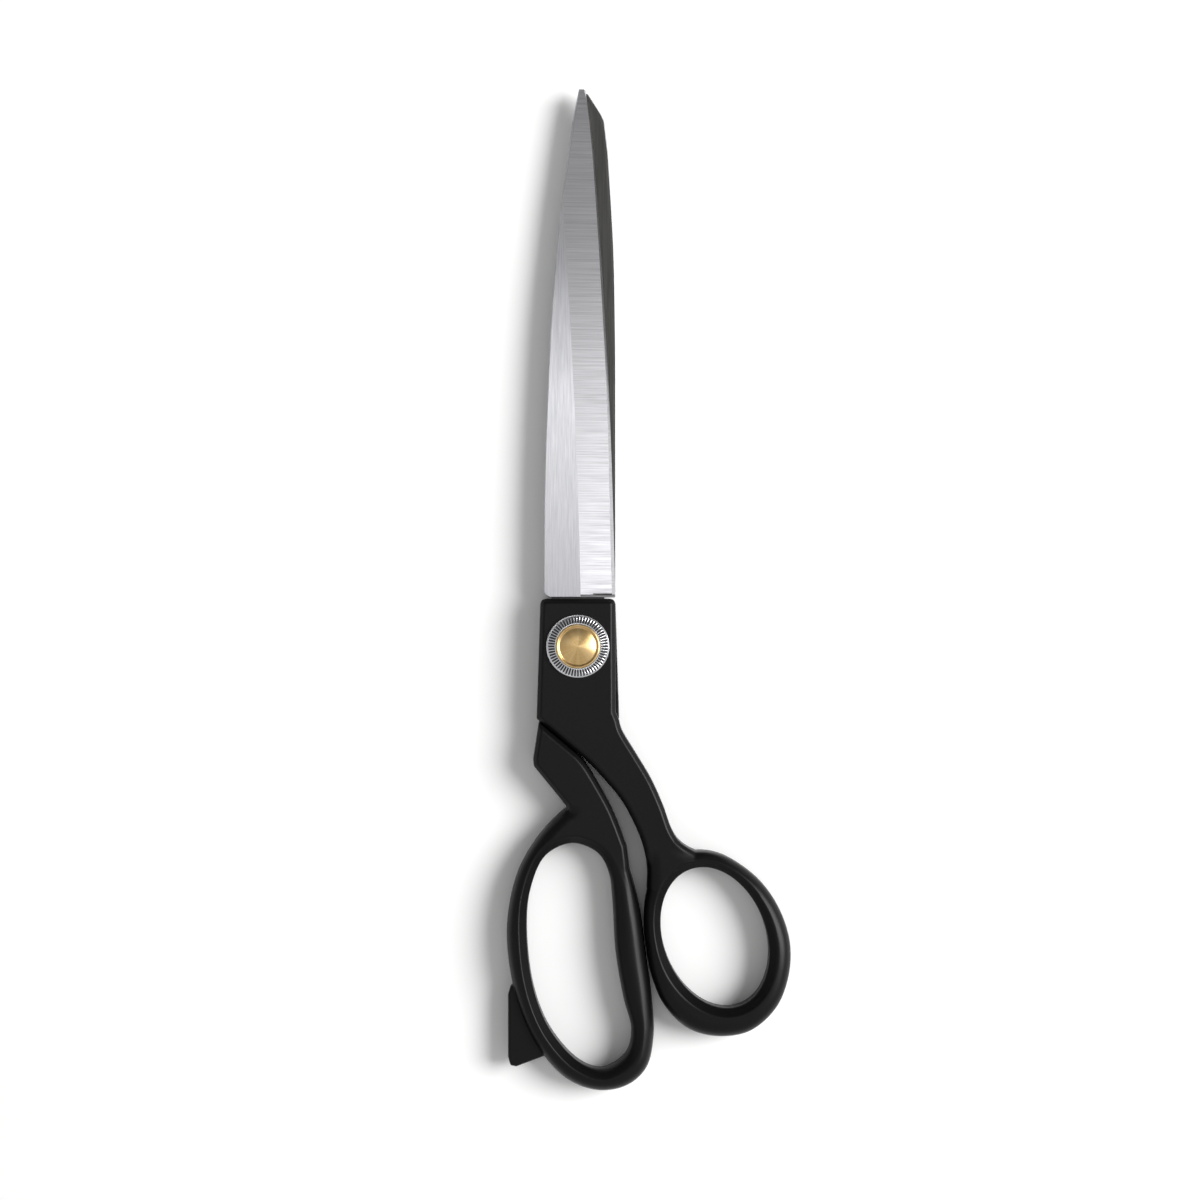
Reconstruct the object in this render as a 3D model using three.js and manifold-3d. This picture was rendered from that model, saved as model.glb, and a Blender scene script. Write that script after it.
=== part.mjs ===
// Fabric shears, twelve inches long: two forged blades in die-cast black handles, held by a brass
// pivot post with a serrated steel washer in front and a tension screw behind.
//
// Frame: millimetres. The pivot axis is Z and the origin lies where it meets the surface that the
// closed shears lie on. +Y points to the blade tips, +X to the thumb ring, +Z up out of that surface.
// The front half (thumb_handle, front_blade) lies over the rear half (finger_handle, rear_blade).

import * as THREE from 'three';
import { mergeVertices } from 'three/addons/utils/BufferGeometryUtils.js';
import Module from 'manifold-3d';

const wasm = await Module();
wasm.setup();

// ---------------------------------------------------------------- driving dimensions

const HANDLE_THICKNESS = 12;
const JOINT_PLANE = HANDLE_THICKNESS / 2;
const LAP_CLEARANCE = 0.25; // from the joint plane to the lapped face of each handle
const BLADE_CLEARANCE = 0.2; // from the joint plane to the inner face of each blade

const LAP_TOP = 14.4; // the shoulder of each handle, where its blade comes out
const SHOULDER_RADIUS = 2;
const SHANK_CHAMFER = 0.9;
const RING_ROUND_OUT = 2; // rounding of the rings, measured in plan
const RING_ROUND_UP = 3.4; // and measured through the thickness
const FIN_HALF_THICKNESS = 2.4;
const FIN_CHAMFER = 0.5;

const BLADE_HEEL = 14.8;
const HEEL_THICKNESS = 4;
const TIP_THICKNESS = 1.4;
const HEEL_CORNER = 2.5;
const EDGE_THICKNESS = 0.2;
const MICRO_BEVEL_THICKNESS = 1.5;
const MICRO_BEVEL_HEEL = 1.1; // width of the cutting bevel at the heel
const MICRO_BEVEL_TIP = 0.35; // and at the tip
const PLUNGE_LENGTH = 0.8; // unground shoulder left at the heel of the bevel

const TANG_HALF_WIDTH = 8;
const TANG_END = -20;
const TANG_THICKNESS = 3;
const TANG_CORNER = 4;
const TANG_FIT = 0.15;
const ANCHOR_Y = -13.5; // the casting locks through a hole in the tang
const ANCHOR_RADIUS = 2.4;

const POST_RADIUS = 3.8;
const POST_FLAT = 3.2; // distance of the key flat from the axis
const HEAD_RADIUS = 6.75;
const HEAD_HEIGHT = 0.85;
const VALLEY_DEPTH = 0.55; // between the rim of the head and its dome
const VALLEY_RADIUS = 5.6;
const DOME_RISE = 1;
const WASHER_RADIUS = 9.55;
const WASHER_TEETH = 60;
const WASHER_TEETH_INNER = 7.05;
const WASHER_TEETH_OUTER = 9.1;
const WASHER_THICKNESS = 0.75; // under the brass head
const WASHER_RIM_HEIGHT = 0.95;
const WASHER_CONE_HEIGHT = 1.5;
const TOOTH_GROOVE = 0.3;
const HEAD_SEAT = HANDLE_THICKNESS + 0.8;
const KEY_TOP = HANDLE_THICKNESS - 0.1;
const THRUST_WASHER_RADIUS = 7.5;
const BUSH_WALL = 0.9;
const RUNNING_FIT = 0.05;
const SCREW_RADIUS = 2.45;
const SCREW_HEAD_RADIUS = 6.4;
const SCREW_HEAD_HEIGHT = 1.55;
const SCREW_TIP = HANDLE_THICKNESS - 3;
const SCREW_BORE_END = HANDLE_THICKNESS - 1.5;
const SPRING_SHEET = 0.35;
const SPRING_INNER = 3.2;
const SPRING_OUTER = 6.2;
const SPANNER_HOLE_RADIUS = 0.75;
const SPANNER_PITCH_RADIUS = 4.2;
const COUNTERBORE_DEPTH = 2.3;
const COUNTERBORE_RADIUS = 6.8;

const ROUND_SEGMENTS = 40;
const RING_SEGMENTS = 64;
const ANCHOR_SEGMENTS = 24;
const THROUGH = HANDLE_THICKNESS + 2; // reaches past any piece that a cutter goes through

// Blade outlines as stations from heel to tip: [distance from the pivot, offset across the blade].
// The offsets are those of the front blade, with its spine on the -X side.
const FRONT_SPINE = [
  [14.8, -10.4], [41, -10.35], [62, -9.85], [99, -8.35], [134, -5.1], [161, -1.5], [169.5, 0.3],
];
const FRONT_EDGE = [
  [14.8, 11.4], [54, 10.35], [75, 9.7], [118, 7.15], [148, 5], [159, 4], [166, 2.9], [169.5, 2.2],
];
const FRONT_RIDGE = [
  [14.8, 0.85], [54, -0.15], [75, -1.1], [106, -2.7], [126, -3.8], [134, -4.7], [169.5, 0.6],
];
const REAR_SPINE = [
  [14.8, -11.55], [90, -11.55], [120, -11.1], [149, -9.3], [160, -8], [162.3, -6.9], [168.4, -3],
];
const REAR_EDGE = [[14.8, 9.2], [75, 7.2], [118, 4.4], [148, 1.5], [160, -0.4], [168.4, -1.9]];
const REAR_RIDGE = [[14.8, -0.85], [75, -2.6], [118, -5.6], [134, -8], [149, -8.9], [168.4, -2.7]];
const FRONT_STATIONS = [14.8, 17.3, 41, 62, 80, 99, 118, 134, 148, 161, 166, 169.5];
const REAR_STATIONS = [14.8, 17.3, 50, 90, 105, 120, 134, 149, 160, 162.3, 168.4];

// ---------------------------------------------------------------- materials

const blackCoat = new THREE.MeshStandardMaterial({ color: 0x1c1c1c, roughness: 0.45, metalness: 0.0 });
const bladeSteel = new THREE.MeshStandardMaterial({ color: 0xc8c8d0, roughness: 0.3, metalness: 1.0 });
const brightSteel = new THREE.MeshStandardMaterial({ color: 0xd8d8d8, roughness: 0.2, metalness: 1.0 });
const brass = new THREE.MeshStandardMaterial({ color: 0xd4af6e, roughness: 0.25, metalness: 1.0 });
const bronze = new THREE.MeshStandardMaterial({ color: 0xa87f4c, roughness: 0.4, metalness: 1.0 });

// ---------------------------------------------------------------- geometry helpers

function vectors(points) {
  return points.map(([x, y]) => new THREE.Vector2(x, y));
}

function mirrored(points) {
  return points.map(([x, y]) => [-x, y]);
}

// A smooth closed outline through the points.
function closedSpline(points, divisions) {
  const knots = points.map(([x, y]) => new THREE.Vector3(x, y, 0));
  const curve = new THREE.CatmullRomCurve3(knots, true, 'centripetal');
  return curve.getPoints(divisions).slice(0, -1).map((p) => new THREE.Vector2(p.x, p.y));
}

function ellipsePoints({ centre, radiusX, radiusY, tilt }, divisions) {
  const [x, y] = centre;
  const curve = new THREE.EllipseCurve(x, y, radiusX, radiusY, 0, 2 * Math.PI, false, tilt);
  return curve.getPoints(divisions).slice(0, -1);
}

function toSolid(geometry) {
  const bare = geometry.clone();
  bare.deleteAttribute('normal');
  bare.deleteAttribute('uv');
  const merged = mergeVertices(bare, 1e-4);
  const mesh = new wasm.Mesh({
    numProp: 3,
    vertProperties: new Float32Array(merged.attributes.position.array),
    triVerts: new Uint32Array(merged.index.array),
  });
  return new wasm.Manifold(mesh);
}

function toMesh(solid, name, material) {
  const data = solid.getMesh();
  const geometry = new THREE.BufferGeometry();
  geometry.setAttribute('position', new THREE.BufferAttribute(new Float32Array(data.vertProperties), 3));
  geometry.setIndex(new THREE.BufferAttribute(new Uint32Array(data.triVerts), 1));
  geometry.computeVertexNormals();
  const mesh = new THREE.Mesh(geometry, material);
  mesh.name = name;
  return mesh;
}

// A plain prism of the outline between two heights.
function prism(outline, low, high, holes = []) {
  const shape = new THREE.Shape(outline);
  shape.holes = holes.map((hole) => new THREE.Path(hole));
  const geometry = new THREE.ExtrudeGeometry(shape, { depth: high - low, bevelEnabled: false });
  geometry.translate(0, 0, low);
  return toSolid(geometry);
}

// The same with its edges cut back by out in plan and up in height.
function bevelledPrism(outline, low, high, out, up, segments, holes = []) {
  const shape = new THREE.Shape(outline);
  shape.holes = holes.map((hole) => new THREE.Path(hole));
  const geometry = new THREE.ExtrudeGeometry(shape, {
    depth: high - low - 2 * up,
    bevelEnabled: true,
    bevelSize: out,
    bevelOffset: -out,
    bevelThickness: up,
    bevelSegments: segments,
  });
  geometry.translate(0, 0, low + up);
  return toSolid(geometry);
}

// A solid of revolution about the pivot axis; the profile is [radius, height] and closes on itself.
function turned(profile, segments = ROUND_SEGMENTS) {
  const points = vectors([...profile, profile[0]]);
  const geometry = new THREE.LatheGeometry(points, segments);
  geometry.rotateX(Math.PI / 2);
  return toSolid(geometry);
}

function cylinder(radius, low, high, x = 0, y = 0, segments = ROUND_SEGMENTS) {
  const geometry = new THREE.CylinderGeometry(radius, radius, high - low, segments);
  geometry.rotateX(Math.PI / 2);
  geometry.translate(x, y, (low + high) / 2);
  return toSolid(geometry);
}

function box(low, high) {
  const geometry = new THREE.BoxGeometry(high[0] - low[0], high[1] - low[1], high[2] - low[2]);
  geometry.translate((low[0] + high[0]) / 2, (low[1] + high[1]) / 2, (low[2] + high[2]) / 2);
  return toSolid(geometry);
}

// ---------------------------------------------------------------- blades

function offsetAt(stations, y) {
  const next = Math.max(1, stations.findIndex(([station]) => station >= y));
  const [y0, x0] = stations[next - 1];
  const [y1, x1] = stations[next];
  return x0 + ((x1 - x0) * (y - y0)) / (y1 - y0);
}

// One cross-section: inner face flat, outer face flat from the spine to the ridge, then a long
// ground bevel and a short steep one down to the cutting edge. Heights count from the inner face.
function bladeSection(y, heel, tip, spine, ridge, edge) {
  const along = (y - heel) / (tip - heel);
  const thickness = THREE.MathUtils.lerp(HEEL_THICKNESS, TIP_THICKNESS, Math.pow(along, 1.6));
  const micro = THREE.MathUtils.lerp(MICRO_BEVEL_HEEL, MICRO_BEVEL_TIP, along);
  const spineX = offsetAt(spine, y);
  const edgeX = offsetAt(edge, y);
  const ridgeX = offsetAt(ridge, y);
  return [
    [spineX, 0],
    [edgeX, 0],
    [edgeX, EDGE_THICKNESS],
    [edgeX - micro, Math.min(MICRO_BEVEL_THICKNESS, thickness * 0.6)],
    [ridgeX, thickness],
    [spineX, thickness],
  ].map(([x, z]) => [x, y, z]);
}

// Skin over cross-sections with the same number of points, with a fan at each end.
function loft(sections) {
  const count = sections[0].length;
  const positions = sections.flat(2);
  const index = [];
  for (let row = 0; row + 1 < sections.length; row += 1) {
    for (let i = 0; i < count; i += 1) {
      const a = row * count + i;
      const b = row * count + ((i + 1) % count);
      index.push(a, b, b + count, a, b + count, a + count);
    }
  }
  const last = (sections.length - 1) * count;
  for (let i = 1; i + 1 < count; i += 1) {
    index.push(0, i + 1, i);
    index.push(last, last + i, last + i + 1);
  }
  const geometry = new THREE.BufferGeometry();
  geometry.setAttribute('position', new THREE.Float32BufferAttribute(positions, 3));
  geometry.setIndex(index);
  return geometry;
}

function facingOut(geometry) {
  const solid = toSolid(geometry);
  if (solid.volume() > 0) {
    return solid;
  }
  const flipped = geometry.clone();
  flipped.setIndex(Array.from(geometry.index.array).reverse());
  return toSolid(flipped);
}

function tangOutline(grow) {
  const half = TANG_HALF_WIDTH + grow;
  const end = TANG_END - grow;
  return vectors([
    [-half, BLADE_HEEL + 3],
    [-half, end + TANG_CORNER],
    [-half + TANG_CORNER, end],
    [half - TANG_CORNER, end],
    [half, end + TANG_CORNER],
    [half, BLADE_HEEL + 3],
  ]);
}

// What is cut off the corner where the spine meets the heel.
function heelCorner(spineX) {
  const outline = vectors([
    [spineX - 1, BLADE_HEEL - 1],
    [spineX + HEEL_CORNER, BLADE_HEEL - 1],
    [spineX, BLADE_HEEL + HEEL_CORNER],
    [spineX - 1, BLADE_HEEL + HEEL_CORNER],
  ]);
  return prism(outline, -1, HEEL_THICKNESS + 1);
}

// The front blade with its inner face at z = 0 and its tang behind it.
function bladeSolid(stations, spine, ridge, edge) {
  const tip = stations[stations.length - 1];
  const sections = stations.map((y) => bladeSection(y, BLADE_HEEL, tip, spine, ridge, edge));
  const ground = facingOut(loft(sections));
  const edgeX = offsetAt(edge, BLADE_HEEL);
  const plunge = [edgeX - EDGE_THICKNESS, BLADE_HEEL + PLUNGE_LENGTH, HEEL_THICKNESS];
  const shoulder = box([edgeX / 2, BLADE_HEEL, 0], plunge);
  const tang = prism(tangOutline(0), LAP_CLEARANCE - BLADE_CLEARANCE, TANG_THICKNESS);
  return ground
    .add(shoulder)
    .subtract(heelCorner(offsetAt(spine, BLADE_HEEL)))
    .add(tang)
    .subtract(cylinder(ANCHOR_RADIUS + TANG_FIT, -1, HEEL_THICKNESS, 0, ANCHOR_Y, ANCHOR_SEGMENTS));
}

function frontBlade() {
  const blade = bladeSolid(FRONT_STATIONS, FRONT_SPINE, FRONT_RIDGE, FRONT_EDGE);
  const flat = box([POST_FLAT + RUNNING_FIT, -THROUGH, -THROUGH], [THROUGH, THROUGH, THROUGH]);
  const keyedHole = cylinder(POST_RADIUS + RUNNING_FIT, -1, HEEL_THICKNESS).subtract(flat);
  return blade.subtract(keyedHole).translate([0, 0, JOINT_PLANE + BLADE_CLEARANCE]);
}

// The rear blade is turned over about the Y axis, so that its spine is on the +X side.
function rearBlade() {
  const blade = bladeSolid(REAR_STATIONS, REAR_SPINE, REAR_RIDGE, REAR_EDGE);
  const bushHole = cylinder(POST_RADIUS + BUSH_WALL + 2 * RUNNING_FIT, -1, HEEL_THICKNESS);
  return blade.subtract(bushHole).rotate([0, 180, 0]).translate([0, 0, JOINT_PLANE - BLADE_CLEARANCE]);
}

// ---------------------------------------------------------------- handles

// The shoulder and sides of the lapped plate, from one lower corner over the top to the other.
function plateTop(leftX, leftLow, rightX, rightLow) {
  const shape = new THREE.Path();
  shape.moveTo(leftLow[0], leftLow[1]);
  shape.lineTo(leftX, LAP_TOP - SHOULDER_RADIUS);
  shape.quadraticCurveTo(leftX, LAP_TOP, leftX + SHOULDER_RADIUS, LAP_TOP);
  shape.lineTo(rightX - SHOULDER_RADIUS, LAP_TOP);
  shape.quadraticCurveTo(rightX, LAP_TOP, rightX, LAP_TOP - SHOULDER_RADIUS);
  shape.lineTo(rightLow[0], rightLow[1]);
  return shape.getPoints(4);
}

function openSpline(points, divisions) {
  return new THREE.SplineCurve(vectors(points)).getPoints(divisions);
}

// Plan of the thumb shank: the plate over the pivot, then the neck that swings out to the ring.
function thumbShankOutline() {
  const outer = openSpline([
    [12.5, -22.4], [13.6, -26], [17.6, -32.6], [22.2, -40.3], [25.8, -48.2], [28.7, -56.1], [31.9, -60.2],
    [37.5, -63],
  ], 22);
  const inner = openSpline([
    [20.9, -74], [20.95, -67.1], [19.8, -60.8], [17.45, -54.6], [13.5, -47.2], [8.9, -41.4], [3.45, -35.5],
    [0.73, -33.1],
  ], 18);
  const top = plateTop(-11.45, [-12.55, -22], 11.4, [11.5, -20]);
  return [...top, ...outer, new THREE.Vector2(30, -67), ...inner];
}

// Plan of the finger shank: the plate under the pivot, the square heel below it and the neck to the bow.
function fingerShankOutline() {
  const outer = vectors([[15.9, -70], [15.5, -66.4]]);
  const neck = openSpline([[14.7, -60.7], [10.4, -49.7], [5.1, -40.1], [2.1, -35.4], [-0.7, -32.3]], 15);
  const heel = vectors([
    [-13.6, -34.2], [-13.4, -36.4], [-3.6, -48.4], [-2.8, -52], [5, -56], [11.5, -64],
  ]);
  const top = plateTop(-11.4, [-11.4, -20], 11.45, [12.55, -22]);
  return [...top, ...neck.reverse(), ...outer.reverse(), ...heel.reverse()];
}

// Everything on the far side of the step wall; the wall of the other handle is its mirror image.
function lapCut(low, high, side) {
  const wall = [[-20, -16.3], [-12.8, -22.3], [30, -58], [30, 30], [-20, 30]];
  return prism(vectors(side > 0 ? wall : mirrored(wall)), low, high);
}

const THUMB_RING = [
  [42.1, -62.9], [48.4, -65.9], [55.6, -71.7], [61.2, -79.8], [64.5, -90], [64.2, -100], [60.5, -109.8],
  [52.4, -117.1], [42.1, -118.7], [33.3, -116.2], [26.2, -109.2], [22.2, -99.8], [20.8, -92], [20, -84.5],
  [20.6, -76], [23, -69], [28.5, -64.6], [35.5, -62.3],
];
const THUMB_OPENING = { centre: [41.6, -88.6], radiusX: 15.6, radiusY: 22, tilt: 0.35 };

const FINGER_BOW = [
  [-2.6, -49], [-7.2, -52.4], [-13.2, -59.4], [-18.5, -69.2], [-21.5, -84], [-20.7, -98], [-17.3, -111.5],
  [-12, -122.3], [-3.4, -131.6], [6, -135.1], [14.9, -133.6], [20.7, -128.3], [22.9, -119], [22.4, -107],
  [20.7, -94.5], [18.7, -80], [16, -69], [11.5, -57.5], [4.5, -51],
];
const FINGER_OPENING = [
  [-1.8, -59.9], [5.9, -62.8], [9.3, -68.8], [10.5, -78.1], [11.4, -92.7], [13.9, -107.4], [16.2, -116.5],
  [14.6, -123.8], [7.6, -128.4], [0.6, -126.5], [-8.2, -117], [-13.4, -104.4], [-15.6, -86.8], [-14.6, -74.5],
  [-9.9, -63.7],
];

function ring(outer, opening) {
  return bevelledPrism(outer, 0, HANDLE_THICKNESS, RING_ROUND_OUT, RING_ROUND_UP, 3, [opening]);
}

function tangPocket(low, high) {
  const circle = { centre: [0, ANCHOR_Y], radiusX: ANCHOR_RADIUS, radiusY: ANCHOR_RADIUS, tilt: 0 };
  const anchor = ellipsePoints(circle, ANCHOR_SEGMENTS);
  return prism(tangOutline(TANG_FIT), low, high, [anchor]);
}

function thumbHandle() {
  const opening = ellipsePoints(THUMB_OPENING, RING_SEGMENTS);
  const shank = bevelledPrism(thumbShankOutline(), 0, HANDLE_THICKNESS, SHANK_CHAMFER, SHANK_CHAMFER, 1);
  const lapFace = JOINT_PLANE + LAP_CLEARANCE;
  const pocketFloor = JOINT_PLANE + BLADE_CLEARANCE + TANG_THICKNESS + TANG_FIT;
  return shank
    .add(ring(closedSpline(THUMB_RING, RING_SEGMENTS), opening))
    .subtract(lapCut(-1, lapFace, -1))
    .subtract(tangPocket(lapFace - 1, pocketFloor))
    .subtract(cylinder(POST_RADIUS + RUNNING_FIT, lapFace, HANDLE_THICKNESS + 1));
}

// The fin beside the bow on which the shears stand on edge.
function restFin() {
  const outline = vectors([
    [-18, -101], [-20.6, -103.6], [-21.3, -106], [-21.3, -125], [-20.6, -127.6], [-18.8, -128],
    [-9.5, -124.5], [-11, -119],
  ]);
  const low = JOINT_PLANE - FIN_HALF_THICKNESS;
  const high = JOINT_PLANE + FIN_HALF_THICKNESS;
  return bevelledPrism(outline, low, high, FIN_CHAMFER, FIN_CHAMFER, 1);
}

function fingerHandle() {
  const shank = bevelledPrism(fingerShankOutline(), 0, HANDLE_THICKNESS, SHANK_CHAMFER, SHANK_CHAMFER, 1);
  const opening = closedSpline(FINGER_OPENING, RING_SEGMENTS);
  const lapFace = JOINT_PLANE - LAP_CLEARANCE;
  const pocketFloor = JOINT_PLANE - BLADE_CLEARANCE - TANG_THICKNESS - TANG_FIT;
  return shank
    .add(ring(closedSpline(FINGER_BOW, RING_SEGMENTS), opening))
    .add(restFin().subtract(prism(opening, 0, HANDLE_THICKNESS)))
    .subtract(lapCut(lapFace, HANDLE_THICKNESS + 1, 1))
    .subtract(tangPocket(pocketFloor, lapFace + 1))
    .subtract(cylinder(POST_RADIUS + BUSH_WALL + 2 * RUNNING_FIT, 0, lapFace + 1))
    .subtract(cylinder(COUNTERBORE_RADIUS, -1, COUNTERBORE_DEPTH));
}

// ---------------------------------------------------------------- pivot

// The brass post: a domed head with a raised rim, and a barrel with a key flat in the front half and
// a bore for the screw.
function pivotPost() {
  const bottom = COUNTERBORE_DEPTH + 0.1;
  const rim = HEAD_SEAT + HEAD_HEIGHT;
  const domeHeight = (t) => rim - VALLEY_DEPTH + DOME_RISE * (1 - 0.25 * t - 0.75 * Math.pow(t, 2.6));
  const dome = [1, 0.75, 0.5, 0.25, 0].map((t) => [t * VALLEY_RADIUS, domeHeight(t)]);
  const body = turned([
    [0, bottom],
    [POST_RADIUS, bottom],
    [POST_RADIUS, HEAD_SEAT],
    [HEAD_RADIUS, HEAD_SEAT],
    [HEAD_RADIUS, rim - 0.5],
    [HEAD_RADIUS - 0.25, rim - 0.1],
    [HEAD_RADIUS - 0.65, rim],
    ...dome,
  ]);
  const key = box([POST_FLAT, -POST_RADIUS, JOINT_PLANE + BLADE_CLEARANCE], [THROUGH, POST_RADIUS, KEY_TOP]);
  const bore = cylinder(SCREW_RADIUS + RUNNING_FIT, bottom - 1, SCREW_BORE_END);
  return body.subtract(key).subtract(bore);
}

// The serrated washer: a shallow cone with radial teeth inside a smooth rim.
function serratedWasher() {
  const bottom = HANDLE_THICKNESS;
  const bore = POST_RADIUS + 2 * RUNNING_FIT;
  const rimTop = bottom + WASHER_RIM_HEIGHT;
  const coneTop = bottom + WASHER_CONE_HEIGHT;
  const body = turned([
    [bore, bottom],
    [WASHER_RADIUS, bottom],
    [WASHER_RADIUS, rimTop - 0.3],
    [WASHER_RADIUS - 0.3, rimTop],
    [WASHER_TEETH_INNER, coneTop],
    [WASHER_TEETH_INNER, bottom + WASHER_THICKNESS],
    [bore, bottom + WASHER_THICKNESS],
  ], WASHER_TEETH);
  const length = WASHER_TEETH_OUTER - WASHER_TEETH_INNER + 1;
  const groove = toSolid(new THREE.BoxGeometry(length, TOOTH_GROOVE, 1))
    .translate([WASHER_TEETH_OUTER - length / 2, 0, rimTop + 0.4]);
  const grooves = [];
  for (let tooth = 0; tooth < WASHER_TEETH; tooth += 1) {
    grooves.push(groove.rotate([0, 0, (360 * (tooth + 0.5)) / WASHER_TEETH]));
  }
  return body.subtract(wasm.Manifold.union(grooves));
}

function thrustWasher() {
  const low = JOINT_PLANE - LAP_CLEARANCE + 0.03;
  const high = JOINT_PLANE + LAP_CLEARANCE - 0.03;
  const inner = POST_RADIUS + 0.2;
  return turned([[inner, low], [THRUST_WASHER_RADIUS, low], [THRUST_WASHER_RADIUS, high], [inner, high]]);
}

function pivotBush() {
  const inner = POST_RADIUS + RUNNING_FIT;
  const outer = inner + BUSH_WALL;
  const low = COUNTERBORE_DEPTH + 0.1;
  const high = JOINT_PLANE - LAP_CLEARANCE;
  return turned([[inner, low], [outer, low], [outer, high], [inner, high]]);
}

// A conical spring washer between the screw head and the floor of the counterbore.
function springWasher() {
  const low = SCREW_HEAD_HEIGHT + 0.02;
  const high = COUNTERBORE_DEPTH - 0.02;
  return turned([
    [SPRING_INNER, low],
    [SPRING_OUTER, high - SPRING_SHEET],
    [SPRING_OUTER, high],
    [SPRING_INNER, low + SPRING_SHEET],
  ]);
}

function tensionScrew() {
  const body = turned([
    [0, 0],
    [SCREW_HEAD_RADIUS - 0.4, 0],
    [SCREW_HEAD_RADIUS, 0.4],
    [SCREW_HEAD_RADIUS, SCREW_HEAD_HEIGHT],
    [SCREW_RADIUS, SCREW_HEAD_HEIGHT],
    [SCREW_RADIUS, SCREW_TIP - 0.5],
    [SCREW_RADIUS - 0.5, SCREW_TIP],
    [0, SCREW_TIP],
  ]);
  const spannerHole = (side) => cylinder(SPANNER_HOLE_RADIUS, -1, 1, side * SPANNER_PITCH_RADIUS, 0, 20);
  return body.subtract(spannerHole(1)).subtract(spannerHole(-1));
}

// ---------------------------------------------------------------- assembly

const shears = new THREE.Group();
shears.add(toMesh(thumbHandle(), 'thumb_handle', blackCoat));
shears.add(toMesh(fingerHandle(), 'finger_handle', blackCoat));
shears.add(toMesh(frontBlade(), 'front_blade', bladeSteel));
shears.add(toMesh(rearBlade(), 'rear_blade', bladeSteel));
shears.add(toMesh(pivotPost(), 'pivot_post', brass));
shears.add(toMesh(serratedWasher(), 'serrated_washer', brightSteel));
shears.add(toMesh(thrustWasher(), 'thrust_washer', bronze));
shears.add(toMesh(pivotBush(), 'pivot_bush', bronze));
shears.add(toMesh(springWasher(), 'spring_washer', brightSteel));
shears.add(toMesh(tensionScrew(), 'tension_screw', brightSteel));

export default shears;
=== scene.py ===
"""Fabric shears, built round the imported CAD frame.

The plan outlines of both handles and of both blades are read from the CAD nodes by cutting them with
planes. The handles become smooth castings by meshing a distance field; the blades are fine lofts with
their own grinds; the pivot parts are turned. Lengths are millimetres until a mesh is made.
"""
import math

import bpy
import numpy as np
import openvdb
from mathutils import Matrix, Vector


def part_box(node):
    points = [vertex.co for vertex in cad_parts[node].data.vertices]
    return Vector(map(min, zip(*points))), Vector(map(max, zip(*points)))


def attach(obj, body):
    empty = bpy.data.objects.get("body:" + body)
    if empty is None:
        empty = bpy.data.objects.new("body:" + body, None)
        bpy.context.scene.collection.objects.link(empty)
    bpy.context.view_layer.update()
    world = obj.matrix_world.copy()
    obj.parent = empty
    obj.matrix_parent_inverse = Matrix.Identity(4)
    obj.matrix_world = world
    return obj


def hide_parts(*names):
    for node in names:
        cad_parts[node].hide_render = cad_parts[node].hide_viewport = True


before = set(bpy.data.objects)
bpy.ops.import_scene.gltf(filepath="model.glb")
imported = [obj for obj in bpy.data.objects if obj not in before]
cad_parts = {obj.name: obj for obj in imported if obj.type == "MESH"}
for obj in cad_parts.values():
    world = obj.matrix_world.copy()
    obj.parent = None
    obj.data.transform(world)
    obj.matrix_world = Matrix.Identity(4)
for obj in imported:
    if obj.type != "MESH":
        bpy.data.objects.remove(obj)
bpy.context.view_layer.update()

MM = 0.001

# Heights, from the frame
REST_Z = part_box("finger_handle")[0][2] / MM
TOP_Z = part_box("finger_handle")[1][2] / MM
MID_Z = (REST_Z + TOP_Z) / 2
HALF = (TOP_Z - REST_Z) / 2
TIP_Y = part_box("front_blade")[1][1] / MM
LAP_GAP = 0.25  # from the mid plane to each lapped face
BLADE_GAP = 0.2  # from the mid plane to each blade's inner face
TANG_TOP = 3.2  # from the mid plane to each tang's outer face
TANG_DEPTH = 3.35  # and to the floor of its pocket
TANG_MIDDLE = 1.6  # the height at which the tangs are cut for their outlines
TANG_PLAY = 0.25  # round the tang in its pocket
ANCHOR_BELOW_Y = -8  # holes of the tang below this take the casting's anchor, not the pivot
BORE_RADIUS = 3.9
BUSH_BORE_RADIUS = 4.8
COUNTERBORE_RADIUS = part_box("tension_screw")[1][0] / MM + 0.35
COUNTERBORE_DEPTH = 2.3

# Edge forms of the castings
VOXEL = 0.3
EDGE_CHAMFER = 1.3
CHAMFER_SOFTNESS = 0.4
ROUND_OUT = 4.6
ROUND_UP = 4.4
INNER_BEVEL_WIDTH = 2.5
INNER_BEVEL_DROP = 2.6
CREST_SOFTNESS = 0.45
CREST_ROUND = (5.0, 4.6)  # the rounded inner edge of the bow's right limb, in plan and in height
RING_REACH = (8.5, 12.0)  # the ring's round section fades into the flat shank between these distances
THUMB_SHANK_Y = (-65.5, -60)  # the shanks keep their chamfers above these places
FINGER_SHANK_X = (2, 8)
FINGER_SHANK_Y = (-82, -60)
RIGHT_LIMB_X = (-2, 9)
RIGHT_LIMB_Y = (-60, -75)
FIN_HALF = 2.4
FIN_CHAMFER = 0.5


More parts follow.
